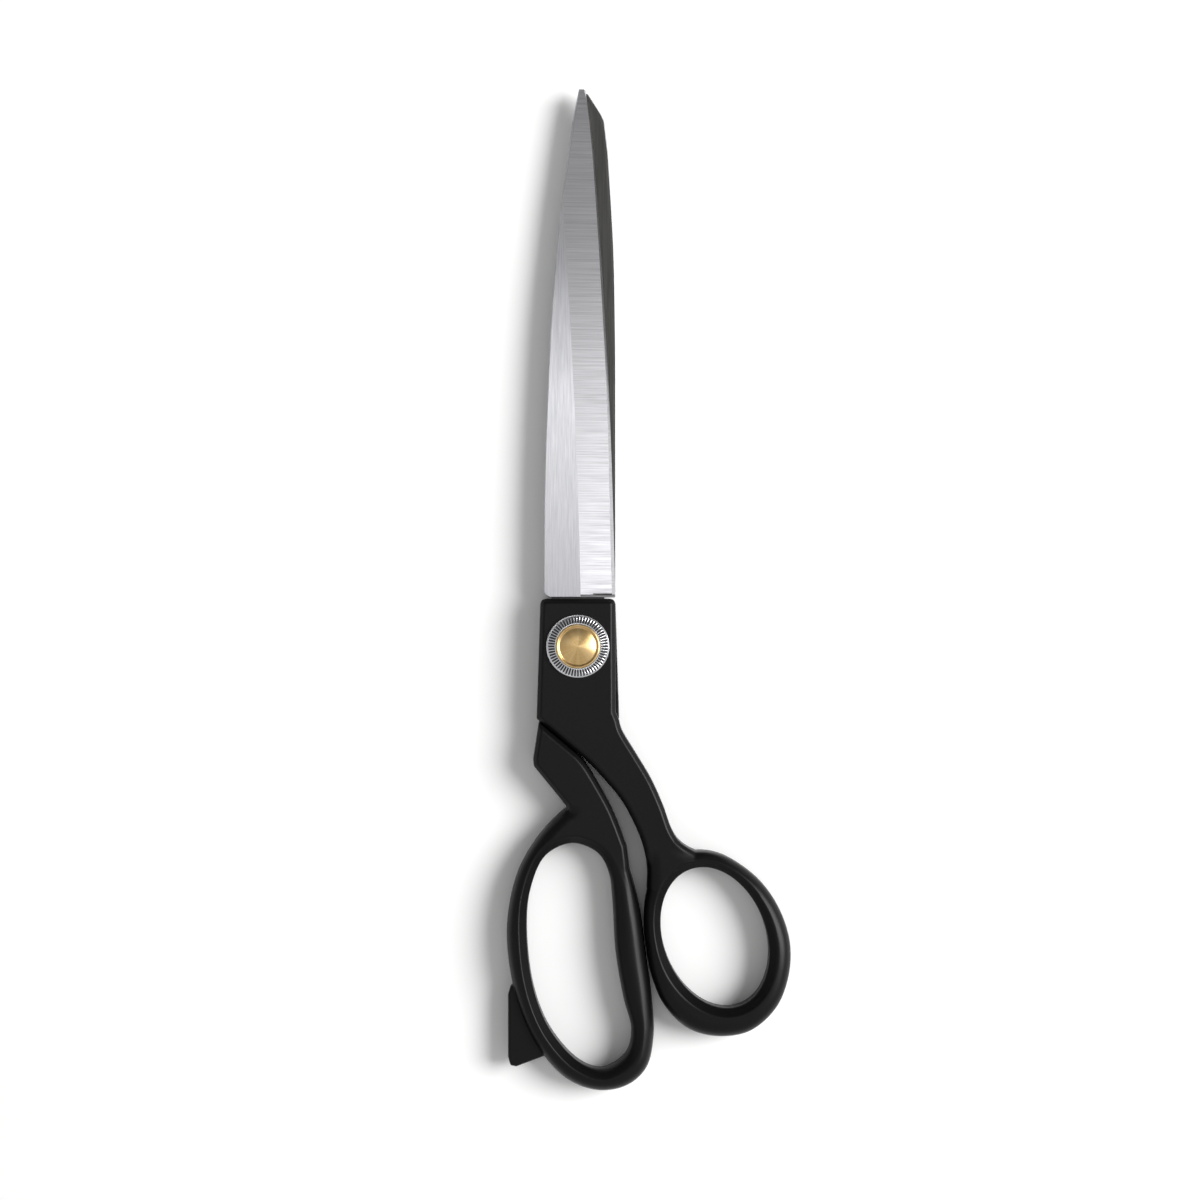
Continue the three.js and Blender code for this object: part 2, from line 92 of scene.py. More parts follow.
# Blades
HEEL_Y = 14.8
HEEL_CORNER = 2.5
HEEL_BREAK = 0.25  # taken off the heel's edges
PLUNGE = (15.25, 15.75)  # where the grind begins, and where it has its full depth
HEEL_STATIONS = (HEEL_Y, 15.0, PLUNGE[0], 15.35, 15.45, 15.6, PLUNGE[1], 16.0, 16.4, 16.8, 17.2)
GROUND_Y = 17.4  # from here on the sections come from the CAD node
GROUND_SECTIONS = 150
BEVEL_SLOPE = (0.27, 0.09)  # of the ground bevel, at most, at the heel and at the tip
MICRO_WIDTH = (1.1, 0.35)  # of the cutting bevel, at the heel and at the tip
EDGE_THICKNESS = 0.16
FLAT, BEVEL, MICRO, INNER, EDGE_SIDE = range(5)  # material regions of a blade

# Pivot
WASHER_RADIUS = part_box("serrated_washer")[1][0] / MM
WASHER_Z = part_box("serrated_washer")[0][2] / MM
WASHER_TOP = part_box("serrated_washer")[1][2] / MM
WASHER_BORE_RADIUS = 4.0
HEAD_RADIUS = WASHER_RADIUS - 2.8
HEAD_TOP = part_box("pivot_post")[1][2] / MM
POST_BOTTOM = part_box("pivot_post")[0][2] / MM
POST_RADIUS = 3.8
DOME_RISE = 1.0
VALLEY_DEPTH = 0.55
VALLEY_RADIUS = 5.6
HEAD_LIP = 0.45
TEETH = 60
TOOTH_DEPTH = 0.42


# ---------------------------------------------------------------- reading outlines from the CAD nodes

def triangles(node):
    """The node's triangles in millimetres, as an array of (count, corner, xyz)."""
    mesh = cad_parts[node].data
    mesh.calc_loop_triangles()
    points = np.empty(len(mesh.vertices) * 3)
    mesh.vertices.foreach_get("co", points)
    corners = np.empty(len(mesh.loop_triangles) * 3, dtype=np.int32)
    mesh.loop_triangles.foreach_get("vertices", corners)
    return points.reshape(-1, 3)[corners].reshape(-1, 3, 3) / MM


def cut_segments(tris, axis, value):
    """The segments in which the plane axis = value cuts the triangles, as pairs of 2D points."""
    other = [i for i in range(3) if i != axis]
    above = tris[:, :, axis] > value
    segments = []
    for tri in tris[above.any(axis=1) & ~above.all(axis=1)]:
        ends = []
        for a, b in ((0, 1), (1, 2), (2, 0)):
            if (tri[a, axis] > value) != (tri[b, axis] > value):
                p, q = sorted((tuple(tri[a]), tuple(tri[b])))
                t = (value - p[axis]) / (q[axis] - p[axis])
                ends.append(tuple(round(p[i] + t * (q[i] - p[i]), 6) for i in other))
        if ends[0] != ends[1]:
            segments.append(ends)
    return segments


def section_loops(node, height):
    """Closed outlines of the node at z = height, the longest first."""
    links = {}
    for a, b in cut_segments(triangles(node), 2, height):
        links.setdefault(a, []).append(b)
        links.setdefault(b, []).append(a)
    loops = []
    while links:
        start = next(iter(links))
        loop = [start]
        while True:
            here = loop[-1]
            onward = links.pop(here, [])
            ahead = [p for p in onward if p in links]
            if not ahead:
                break
            loop.append(ahead[0])
        loops.append(np.array(loop))
    return sorted(loops, key=loop_length, reverse=True)


def loop_length(loop):
    return np.linalg.norm(np.roll(loop, -1, axis=0) - loop, axis=1).sum()


def turns(points):
    """The angle by which a closed outline turns at each of its points, in radians."""
    before = points - np.roll(points, 1, axis=0)
    after = np.roll(points, -1, axis=0) - points
    cross = before[:, 0] * after[:, 1] - before[:, 1] * after[:, 0]
    return np.abs(np.arctan2(cross, (before * after).sum(axis=1)))


def thinned(points):
    """The outline without points that lie on a straight line or on top of each other."""
    for _ in range(4):
        gaps = np.linalg.norm(points - np.roll(points, 1, axis=0), axis=1)
        points = points[gaps > 0.04]
        points = points[turns(points) > math.radians(0.05)]
    return points


def catmull_rom(points, closed, step):
    """A centripetal Catmull-Rom curve through the points, with a point every step or closer."""
    if closed:
        padded = np.vstack([points[-1:], points, points[:2]])
    else:
        padded = np.vstack([2 * points[0] - points[1], points, 2 * points[-1] - points[-2]])
    curve = []
    for i in range(1, len(padded) - 2):
        p0, p1, p2, p3 = padded[i - 1 : i + 3]
        t1 = np.linalg.norm(p1 - p0) ** 0.5
        t2 = t1 + np.linalg.norm(p2 - p1) ** 0.5
        t3 = t2 + np.linalg.norm(p3 - p2) ** 0.5
        count = max(1, int(math.ceil(np.linalg.norm(p2 - p1) / step)))
        t = np.linspace(t1, t2, count, endpoint=False)[:, None]
        a1 = (t1 - t) / t1 * p0 + t / t1 * p1
        a2 = (t2 - t) / (t2 - t1) * p1 + (t - t1) / (t2 - t1) * p2
        a3 = (t3 - t) / (t3 - t2) * p2 + (t - t2) / (t3 - t2) * p3
        b1 = (t2 - t) / t2 * a1 + t / t2 * a2
        b2 = (t3 - t) / (t3 - t1) * a2 + (t - t1) / (t3 - t1) * a3
        curve.append((t2 - t) / (t2 - t1) * b1 + (t - t1) / (t2 - t1) * b2)
    if not closed:
        curve.append(points[-1:])
    return np.vstack(curve)


def smoothed(loop, corner=math.radians(26), longest=5.2, step=0.6):
    """The outline with its round stretches made smooth; corners and long straight lines are kept."""
    points = thinned(loop)
    gaps = np.linalg.norm(np.roll(points, -1, axis=0) - points, axis=1)
    breaks = turns(points) > corner
    straight = gaps > longest
    breaks |= straight | np.roll(straight, 1)
    if not breaks.any():
        return catmull_rom(points, True, step)
    first = int(np.argmax(breaks))
    points = np.roll(points, -first, axis=0)
    breaks = np.append(np.roll(breaks, -first), True)
    points = np.vstack([points, points[:1]])
    marks = np.flatnonzero(breaks)
    pieces = []
    for a, b in zip(marks[:-1], marks[1:]):
        run = points[a : b + 1]
        pieces.append(catmull_rom(run, False, step)[:-1] if len(run) > 2 else run[:1])
    return np.vstack(pieces)


# ---------------------------------------------------------------- distance fields

def plan_grid(node, margin=1.2):
    low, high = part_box(node)
    x = np.arange(low[0] / MM - margin, high[0] / MM + margin, VOXEL)
    y = np.arange(low[1] / MM - margin, high[1] / MM + margin, VOXEL)
    z = np.arange(REST_Z - margin, TOP_Z + margin, VOXEL)
    return x, y, z


def inside_distance(x, y, loop):
    """Distance to the outline at each point of the plan grid, positive inside it."""
    a = loop
    b = np.roll(loop, -1, axis=0)
    run = b - a
    squared = np.maximum((run ** 2).sum(axis=1), 1e-12)
    field = np.empty((len(x), len(y)))
    for j, row in enumerate(y):
        dx = x[:, None] - a[:, 0]
        dy = row - a[:, 1]
        t = np.clip((dx * run[:, 0] + dy * run[:, 1]) / squared, 0, 1)
        gap = np.hypot(dx - t * run[:, 0], dy - t * run[:, 1]).min(axis=1)
        crossed = (a[:, 1] > row) != (b[:, 1] > row)
        at = a[crossed, 0] + (row - a[crossed, 1]) / run[crossed, 1] * run[crossed, 0]
        odd = (x[:, None] < at).sum(axis=1) % 2 == 1
        field[:, j] = np.where(odd, gap, -gap)
    return field


def smooth_max(a, b, radius):
    h = np.clip(0.5 + 0.5 * (a - b) / radius, 0, 1)
    return b + (a - b) * h + radius * h * (1 - h) * 0.5


def smooth_min(a, b, radius):
    return -smooth_max(-a, -b, radius)


def smoothstep(low, high, value):
    t = np.clip((value - low) / (high - low), 0, 1)
    return t * t * (3 - 2 * t)


def chamfered(inside, rise, size):
    """A slab's edge cut at 45 degrees; rise is the height over the slab's face."""
    flat = np.maximum(-inside, rise)
    return smooth_max(flat, (rise - inside + size) * math.sqrt(0.5), CHAMFER_SOFTNESS)


def rounded(inside, rise, out, up):
    """A slab's edge rounded to a quarter ellipse, out in plan and up in height."""
    across = np.maximum(out - inside, 0) / out
    over = np.maximum(rise + up, 0) / up
    return (np.hypot(across, over) - 1) * min(out, up)


def inner_bevel(clear, rise, width, drop):
    """A straight wall round an opening with a bevel over it; clear is the distance from the opening."""
    slope = drop / width
    bevel = (rise + drop - clear * slope) / math.hypot(1, slope)
    return smooth_max(-clear, bevel, 0.5)


def cylinder_field(x, y, radius):
    return radius - np.hypot(x[:, None], y[None, :])


def casting(outline, rise, clear, square=0.0):
    """The field of a casting with this plan: flat and chamfered in the shank, round at the ring. Where
    square is 1 the edges stay chamfered however near the ring is."""
    ring = ((1 - smoothstep(*RING_REACH, clear)) * (1 - square))[:, :, None]
    inside = outline[:, :, None]
    flat = chamfered(inside, rise, EDGE_CHAMFER)
    return flat * (1 - ring) + rounded(inside, rise, ROUND_OUT, ROUND_UP) * ring


# ---------------------------------------------------------------- meshes

def new_object(name, points, faces):
    """A mesh object from points in millimetres and faces of three or four corners each."""
    mesh = bpy.data.meshes.new(name)
    mesh.from_pydata((np.asarray(points) * MM).tolist(), [], np.asarray(faces).tolist())
    mesh.validate()
    mesh.shade_smooth()
    obj = bpy.data.objects.new(name, mesh)
    bpy.context.scene.collection.objects.link(obj)
    return obj


def relaxed(points, quads, rounds=4):
    """The points evened out by Taubin smoothing, which keeps the size."""
    edges = np.vstack([quads[:, [0, 1]], quads[:, [1, 2]], quads[:, [2, 3]], quads[:, [3, 0]]])
    start = np.concatenate([edges[:, 0], edges[:, 1]])
    end = np.concatenate([edges[:, 1], edges[:, 0]])
    count = np.maximum(np.bincount(start, minlength=len(points)), 1)[:, None]
    for _ in range(rounds):
        for factor in (0.5, -0.52):
            total = np.stack([np.bincount(start, points[end, i], len(points)) for i in range(3)], axis=1)
            points = points + factor * (total / count - points)
    return points


def mesh_of_field(name, field, x, y, z):
    grid = openvdb.FloatGrid(1.0)
    grid.copyFromArray(np.clip(field, -1.0, 1.0).astype(np.float32))
    points, quads = grid.convertToQuads(isovalue=0.0)[:2]
    points = relaxed(points.astype(float), quads.astype(np.int64))
    points = points * VOXEL + np.array([x[0], y[0], z[0]])
    return new_object(name, points, quads[:, ::-1])


# ---------------------------------------------------------------- handles

def ring_clearance(x, y, node, height):
    """Distance from the node's finger opening, positive outside it."""
    opening = section_loops(node, height)[1]
    return -inside_distance(x, y, smoothed(opening))


def pocket_field(x, y, z, node, side):
    """The pocket for a blade's tang, open on the lapped face; side is +1 for the front half."""
    loops = section_loops(node, MID_Z + side * TANG_MIDDLE)
    outline = np.clip(loops[0], None, [math.inf, HEEL_Y + 0.7])
    tang = inside_distance(x, y, outline) + TANG_PLAY
    for hole in loops[1:]:
        centre = hole.mean(axis=0)
        if centre[1] < ANCHOR_BELOW_Y:
            radius = np.linalg.norm(hole - centre, axis=1).mean() - 0.2
            away = np.hypot(x[:, None] - centre[0], y[None, :] - centre[1]) - radius
            tang = np.minimum(tang, away)
    depth = side * (z - MID_Z)
    return np.minimum(tang[:, :, None], TANG_DEPTH - depth[None, None, :])


def thumb_handle():
    """The front casting: the plate over the pivot, the neck and the oval ring."""
    x, y, z = plan_grid("thumb_handle")
    rise = (np.abs(z - MID_Z) - HALF)[None, None, :]
    height = z[None, None, :]
    low_plan = inside_distance(x, y, smoothed(section_loops("thumb_handle", MID_Z)[0]))
    high_plan = inside_distance(x, y, smoothed(section_loops("thumb_handle", MID_Z + 4.2)[0]))
    clear = ring_clearance(x, y, "thumb_handle", MID_Z)
    square = smoothstep(*THUMB_SHANK_Y, y)[None, :] * np.ones((len(x), 1))
    whole = casting(np.maximum(low_plan, high_plan), rise, clear, square)
    field = np.minimum(np.maximum(whole, MID_Z + LAP_GAP - height), casting(low_plan, rise, clear, square))
    bevel = inner_bevel(clear[:, :, None], rise, INNER_BEVEL_WIDTH, INNER_BEVEL_DROP)
    field = smooth_max(field, bevel, CREST_SOFTNESS)
    field = np.maximum(field, pocket_field(x, y, z, "front_blade", 1))
    field = np.maximum(field, cylinder_field(x, y, BORE_RADIUS)[:, :, None])
    return mesh_of_field("thumb_handle_cast", field, x, y, z)


def finger_handle():
    """The rear casting: the plate under the pivot, the square heel, the long bow and its fin."""
    x, y, z = plan_grid("finger_handle")
    rise = (np.abs(z - MID_Z) - HALF)[None, None, :]
    height = z[None, None, :]
    plate_plan = inside_distance(x, y, smoothed(section_loops("finger_handle", REST_Z + 2.5)[0]))
    bow_plan = inside_distance(x, y, smoothed(section_loops("finger_handle", MID_Z + 2.5)[0]))
    fin_plan = inside_distance(x, y, smoothed(section_loops("finger_handle", MID_Z)[0]))
    clear = ring_clearance(x, y, "finger_handle", MID_Z + 2.5)
    square = smoothstep(*FINGER_SHANK_X, x)[:, None] * smoothstep(*FINGER_SHANK_Y, y)[None, :]
    whole = casting(np.maximum(plate_plan, bow_plan), rise, clear, square)
    field = np.minimum(np.maximum(whole, height - MID_Z + LAP_GAP), casting(bow_plan, rise, clear, square))
    fin = chamfered(fin_plan[:, :, None], rise + HALF - FIN_HALF, FIN_CHAMFER)
    field = smooth_min(field, fin, 0.6)
    bevel = inner_bevel(clear[:, :, None], rise, INNER_BEVEL_WIDTH, INNER_BEVEL_DROP)
    round_edge = rounded(clear[:, :, None], rise, *CREST_ROUND)
    right = (smoothstep(*RIGHT_LIMB_X, x)[:, None] * smoothstep(*RIGHT_LIMB_Y, y)[None, :])[:, :, None]
    field = smooth_max(field, bevel * (1 - right) + round_edge * right, CREST_SOFTNESS)
    field = np.maximum(field, pocket_field(x, y, z, "rear_blade", -1))
    field = np.maximum(field, cylinder_field(x, y, BUSH_BORE_RADIUS)[:, :, None])
    counterbore = cylinder_field(x, y, COUNTERBORE_RADIUS)[:, :, None]
    field = np.maximum(field, np.minimum(counterbore, REST_Z + COUNTERBORE_DEPTH - height))
    return mesh_of_field("finger_handle_cast", field, x, y, z)


# ---------------------------------------------------------------- blades

def blade_profile(node, side):
    """Rows (y, spine, ridge, edge, thickness) from heel to tip, with the spine on the -side side."""
    tris = triangles(node)
    low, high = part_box(node)
    tip = high[1] / MM
    inner = MID_Z + side * BLADE_GAP
    rows = []
    for y in np.linspace(GROUND_Y, tip - 0.02, GROUND_SECTIONS):
        points = np.array([end for segment in cut_segments(tris, 1, y) for end in segment])
        across = points[:, 0] * side
        depth = (points[:, 1] - inner) * side
        thickness = depth.max()
        rows.append((y, across.min(), across[depth > thickness - 0.01].max(), across.max(), thickness))
    return np.array(rows)


def eased(rows, reach=7.0):
    """The profile with the kinks between its stations smoothed out, less and less towards the tip."""
    y = rows[:, 0]
    result = rows.copy()
    for i in range(len(rows)):
        width = reach * np.clip((y[-1] - 12 - y[i]) / 40, 0.06, 1)
        near = np.abs(y - y[i])
        edge_room = min(y[i] - y[0], y[-1] - y[i])
        weight = np.exp(-0.5 * (near / width) ** 2) * (near <= edge_room + 1e-9)
        result[i, 1:] = (rows[:, 1:] * weight[:, None]).sum(axis=0) / weight.sum()
    return result


def between(ends, along):
    return ends[0] + (ends[1] - ends[0]) * along


def blade_section(spine, ridge, edge, thickness, along, ground):
    """The outline of one cross-section as (across, height, region of the face that follows)."""
    cut = min(0.3, thickness * 0.2)
    ridge = max(ridge, spine + cut + 0.15)
    micro = min(between(MICRO_WIDTH, along), (edge - spine) * 0.3)
    slope = between(BEVEL_SLOPE, along)
    line = edge - micro
    full = thickness - 0.02
    shoulder = max(min(1.5, thickness * 0.6), thickness - slope * (line - ridge))
    bevel_end = shoulder * ground + full * (1 - ground)
    edge_height = EDGE_THICKNESS * ground + full * (1 - ground)
    width = edge - spine
    hollow = min(0.22, width * 0.02)
    return [
        (spine, 0.25, EDGE_SIDE),
        (spine, thickness - cut, EDGE_SIDE),
        (spine + cut, thickness, FLAT),
        ((spine + cut + ridge) / 2, thickness, FLAT),
        (ridge, thickness, BEVEL),
        (ridge + (line - ridge) * 0.33, thickness + (bevel_end - thickness) * 0.33, BEVEL),
        (ridge + (line - ridge) * 0.67, thickness + (bevel_end - thickness) * 0.67, BEVEL),
        (line, bevel_end, MICRO),
        (edge, edge_height, MICRO),
        (edge, 0, INNER),
        (edge - 0.9, 0.015, INNER),
        (edge - width * 0.3, hollow, INNER),
        (edge - width * 0.6, hollow, INNER),
        (spine + 0.9, 0.02, INNER),
        (spine + 0.2, 0.05, EDGE_SIDE),
    ]


def blade_rows(profile):
    """Every cross-section of the blade: the heel with its corner and plunge, then the ground length."""
    first = profile[0]
    heel = []
    for y in HEEL_STATIONS:
        arc = max(0.0, HEEL_CORNER - (y - HEEL_Y))
        inset = HEEL_CORNER - math.sqrt(HEEL_CORNER ** 2 - arc ** 2)
        trim = HEEL_BREAK if y == HEEL_Y else 0.0
        ground = float(smoothstep(PLUNGE[0], PLUNGE[1], y)) ** 0.7
        spine = first[1] + inset
        heel.append((y, spine, max(first[2], spine + 1), first[3] - trim, first[4] - trim, ground))
    body = [(*row, 1.0) for row in profile]
    return heel + body


def blade_loft(name, node, side, materials):
    """A blade lofted through its cross-sections, with a material for each ground face."""
    profile = eased(blade_profile(node, side))
    tip = profile[-1][0]
    points = []
    regions = []
    rows = blade_rows(profile)
    for y, spine, ridge, edge, thickness, ground in rows:
        along = (y - HEEL_Y) / (tip - HEEL_Y)
        section = blade_section(spine, ridge, edge, thickness, along, ground)
        points += [(side * across, y, MID_Z + side * (BLADE_GAP + height)) for across, height, _ in section]
        regions = [region for _, _, region in section]
    count = len(regions)
    faces = []
    slots = []
    for row in range(len(rows) - 1):
        for i in range(count):
            a = row * count + i
            b = row * count + (i + 1) % count
            faces.append((a, a + count, b + count, b))
            slots.append(regions[i])
    last = (len(rows) - 1) * count
    faces.append(tuple(range(count)))
    faces.append(tuple(range(last + count - 1, last - 1, -1)))
    slots += [FLAT, MICRO]
    mesh = bpy.data.meshes.new(name)
    mesh.from_pydata((np.array(points) * MM).tolist(), [], faces)
    for material in materials:
        mesh.materials.append(material)
    mesh.polygons.foreach_set("material_index", slots)
    mesh.shade_smooth()
    mesh.set_sharp_from_angle(angle=math.radians(1.5))
    obj = bpy.data.objects.new(name, mesh)
    bpy.context.scene.collection.objects.link(obj)
    return obj


def flat_plate(name, loops, low, high):
    """A closed plate between two heights, from its outline and the outlines of its holes."""
    curve = bpy.data.curves.new(name, "CURVE")
    curve.dimensions = "2D"
    curve.fill_mode = "BOTH"
    curve.extrude = (high - low) / 2 * MM
    for loop in loops:
        spline = curve.splines.new("POLY")
        spline.points.add(len(loop) - 1)
        flat = [(px * MM, py * MM, 0.0, 1.0) for px, py in loop]
        spline.points.foreach_set("co", np.array(flat).ravel())
        spline.use_cyclic_u = True
    source = bpy.data.objects.new(name, curve)
    bpy.context.scene.collection.objects.link(source)
    mesh = bpy.data.meshes.new_from_object(source)
    bpy.data.objects.remove(source)
    points = np.empty(len(mesh.vertices) * 3)
    mesh.vertices.foreach_get("co", points)
    points[2::3] += (low + high) / 2 * MM
    mesh.vertices.foreach_set("co", points)
    obj = bpy.data.objects.new(name, mesh)
    bpy.context.scene.collection.objects.link(obj)
    return obj


def tang(name, node, side, material):
    """The blade's tang in its pocket, with the hole for the pivot and the one that the casting locks in."""
    loops = section_loops(node, MID_Z + side * TANG_MIDDLE)
    outline = thinned(np.clip(loops[0], None, [math.inf, HEEL_Y + 1.2]))
    holes = [smoothed(loop) for loop in loops[1:]]
    near = MID_Z + side * LAP_GAP
    far = MID_Z + side * TANG_TOP
    plate = flat_plate(name, [outline, *holes], min(near, far), max(near, far))
    plate.data.materials.clear()
    plate.data.materials.append(material)
    return plate


def joined(first, *others):
    """One object from several, with the first one's name."""
    bpy.ops.object.select_all(action="DESELECT")
    for obj in (first, *others):
        obj.select_set(True)
    bpy.context.view_layer.objects.active = first
    bpy.ops.object.join()
    return first


# ---------------------------------------------------------------- turned parts

def turned(name, profile, segments, wobble=None):
    """A solid of revolution about the pivot axis. The profile is [radius, height] and is closed;
    wobble(radius, height, angle) may move a point up or down."""
    points = []
    for s in range(segments):
        angle = 2 * math.pi * s / segments
        for radius, height in profile:
            lift = wobble(radius, height, angle) if wobble else 0.0
            points.append((radius * math.cos(angle), radius * math.sin(angle), height + lift))
    count = len(profile)
    faces = []
    for s in range(segments):
        t = (s + 1) % segments
        for i in range(count):
            j = (i + 1) % count
            faces.append((s * count + i, t * count + i, t * count + j, s * count + j))
    return new_object(name, points, faces)


def rounded_corner(centre, radius, start, stop, steps=5):
    """Points on an arc in a turned profile, angles in degrees from the outward direction."""
    angles = np.radians(np.linspace(start, stop, steps))
    return [(centre[0] + radius * math.cos(a), centre[1] + radius * math.sin(a)) for a in angles]


def pivot_post():
    """The brass post, with a low dome inside the raised rim of its head."""
    seat = WASHER_Z + 0.8
    rim = HEAD_TOP - DOME_RISE + VALLEY_DEPTH
    dome = []
    for t in np.linspace(1, 0.004, 36):
        dome.append((VALLEY_RADIUS * t, HEAD_TOP - DOME_RISE * (0.25 * t + 0.75 * t ** 2.6)))
    profile = [
        (POST_RADIUS, seat),
        (HEAD_RADIUS - 0.15, seat),
        (HEAD_RADIUS, seat + 0.15),
        *rounded_corner((HEAD_RADIUS - HEAD_LIP, rim - HEAD_LIP), HEAD_LIP, 0, 150, 12),
        *dome,
        (0.02, POST_BOTTOM),
        (POST_RADIUS, POST_BOTTOM),
    ]
    return turned("pivot_post_turned", profile, 128)


def serrated_washer():
    """The steel washer: a cone that falls to its rim, cut by radial teeth."""
    inner = HEAD_RADIUS + 0.3
    outer = WASHER_RADIUS - 0.3
    bottom = WASHER_Z
    rim = bottom + 0.95
    teeth_end = WASHER_RADIUS - 0.55

    def cone(radius):
        return rim + (WASHER_TOP - rim) * (outer - radius) / (outer - inner)

    stations = [*np.linspace(inner, teeth_end, 9), teeth_end + 0.12, outer]
    face = [(radius, cone(radius)) for radius in reversed(stations)]
    profile = [
        (WASHER_BORE_RADIUS, bottom),
        (WASHER_RADIUS - 0.1, bottom),
        (WASHER_RADIUS, bottom + 0.1),
        *rounded_corner((WASHER_RADIUS - 0.25, rim - 0.25), 0.25, 0, 70, 4),
        *face,
        (inner, bottom + 0.7),
        (WASHER_BORE_RADIUS, bottom + 0.7),
    ]

    def tooth(radius, height, angle):
        if height < bottom + 0.8 or radius > teeth_end + 0.05:
            return 0.0
        phase = (angle * TEETH / (2 * math.pi)) % 1
        wave = abs(2 * phase - 1)
        taper = 1 - 0.55 * (radius - inner) / (teeth_end - inner)
        return -TOOTH_DEPTH * taper * float(np.clip((wave - 0.35) / 0.3, 0, 1))

    washer = turned("serrated_washer_cut", profile, TEETH * 10, tooth)
    washer.data.set_sharp_from_angle(angle=math.radians(25))
    # Painted shade: faces deep in the grooves between the teeth take the near-black second material.
    for face in washer.data.polygons:
        middle = face.center / MM
        radius = math.hypot(middle[0], middle[1])
        below = cone(radius) - middle[2]
        face.material_index = int(inner < radius < teeth_end and 0.14 < below < TOOTH_DEPTH)
    return washer


# ---------------------------------------------------------------- materials

def new_material(name, color, roughness, metallic=0.0, **sockets):
    """A principled material and the handles needed to build on it."""
    material = bpy.data.materials.new(name)
    material.use_nodes = True
    shader = material.node_tree.nodes["Principled BSDF"]
    shader.inputs["Base Color"].default_value = (*color, 1)
    shader.inputs["Roughness"].default_value = roughness
    shader.inputs["Metallic"].default_value = metallic
    for socket, value in sockets.items():
        shader.inputs[socket.replace("_", " ")].default_value = value
    return material, material.node_tree.nodes, material.node_tree.links, shader


def place_scaled(nodes, links, scale):
    """Object coordinates multiplied by scale per metre."""
    coordinates = nodes.new("ShaderNodeTexCoord")
    mapping = nodes.new("ShaderNodeMapping")
    mapping.inputs["Scale"].default_value = scale
    links.new(coordinates.outputs["Object"], mapping.inputs["Vector"])
    return mapping.outputs["Vector"]


def noise(nodes, links, vector, scale, detail=3.0, roughness=0.5):
    texture = nodes.new("ShaderNodeTexNoise")
    texture.inputs["Scale"].default_value = scale
    texture.inputs["Detail"].default_value = detail
    texture.inputs["Roughness"].default_value = roughness
    links.new(vector, texture.inputs["Vector"])
    return texture.outputs["Fac"]


def ramp(nodes, links, factor, low, high, start=0.3, stop=0.7):
    """Maps a texture's middle range to low..high."""
    node = nodes.new("ShaderNodeMapRange")
    node.inputs["From Min"].default_value = start
    node.inputs["From Max"].default_value = stop
    node.inputs["To Min"].default_value = low
    node.inputs["To Max"].default_value = high
    links.new(factor, node.inputs["Value"])
    return node.outputs["Result"]


def color_ramp(nodes, links, factor, low, high, start=0.3, stop=0.7):
    node = nodes.new("ShaderNodeValToRGB")
    node.color_ramp.elements[0].position = start
    node.color_ramp.elements[0].color = (*low, 1)
    node.color_ramp.elements[1].position = stop
    node.color_ramp.elements[1].color = (*high, 1)
    links.new(factor, node.inputs["Fac"])
    return node.outputs["Color"]


def bump(nodes, links, height, shader, strength, distance):
    node = nodes.new("ShaderNodeBump")
    node.inputs["Strength"].default_value = strength
    node.inputs["Distance"].default_value = distance
    links.new(height, node.inputs["Height"])
    links.new(node.outputs["Normal"], shader.inputs["Normal"])


def black_coat():
    black = (0.003, 0.003, 0.003)
    material, nodes, links, shader = new_material("black_coat", black, 0.36, Specular_IOR_Level=0.18)
    place = place_scaled(nodes, links, (1, 1, 1))
    grain = noise(nodes, links, place, 2600, 2.0, 0.6)
    cloud = noise(nodes, links, place, 60, 3.0)
    links.new(ramp(nodes, links, cloud, 0.34, 0.39), shader.inputs["Roughness"])
    tone = color_ramp(nodes, links, grain, (0.0018, 0.0018, 0.0018), (0.004, 0.004, 0.004))
    links.new(tone, shader.inputs["Base Color"])
    bump(nodes, links, grain, shader, 0.12, 0.00005)
    return material


def along_blade(nodes, links, color, shades):
    """Multiplies a colour by shades, which are pairs of a place from pivot to tip and a grey there: a
    painted reflection along the blade.
    """
    coordinates = nodes.new("ShaderNodeTexCoord")
    parts = nodes.new("ShaderNodeSeparateXYZ")
    links.new(coordinates.outputs["Object"], parts.inputs["Vector"])
    place = ramp(nodes, links, parts.outputs["Y"], 0, 1, 0, TIP_Y * MM)
    node = nodes.new("ShaderNodeValToRGB")
    stops = node.color_ramp.elements
    for position, _ in shades[1:-1]:
        stops.new(position)
    for stop, (position, grey) in zip(stops, shades):
        stop.position = position
        stop.color = (grey, grey, grey, 1)
    links.new(place, node.inputs["Fac"])
    product = nodes.new("ShaderNodeVectorMath")
    product.operation = "MULTIPLY"
    links.new(color, product.inputs[0])
    links.new(node.outputs["Color"], product.inputs[1])
    return product.outputs["Vector"]


def ground_steel(name, stretch, tones, roughness, relief, direction, anisotropy, shades=None):
    """Steel with fine lines. Stretch is the texture scale per axis, small along the lines; direction
    is the one across them, in which reflections spread."""
    material, nodes, links, shader = new_material(name, tones[1], roughness, 1.0, Anisotropic=anisotropy)
    place = place_scaled(nodes, links, stretch)
    lines = noise(nodes, links, place, 1.0, 4.0, 0.65)
    color = color_ramp(nodes, links, lines, *tones, 0.32, 0.68)
    # Painted reflection: greys along the blade lighten and darken the steel's colour.
    if shades:
        color = along_blade(nodes, links, color, shades)
    links.new(color, shader.inputs["Base Color"])
    links.new(ramp(nodes, links, lines, roughness + 0.06, roughness - 0.06), shader.inputs["Roughness"])
    bump(nodes, links, lines, shader, relief, 0.00002)
    turn = nodes.new("ShaderNodeVectorTransform")
    turn.vector_type = "VECTOR"
    turn.convert_from = "OBJECT"
    turn.convert_to = "WORLD"
    turn.inputs["Vector"].default_value = direction
    links.new(turn.outputs["Vector"], shader.inputs["Tangent"])
    return material


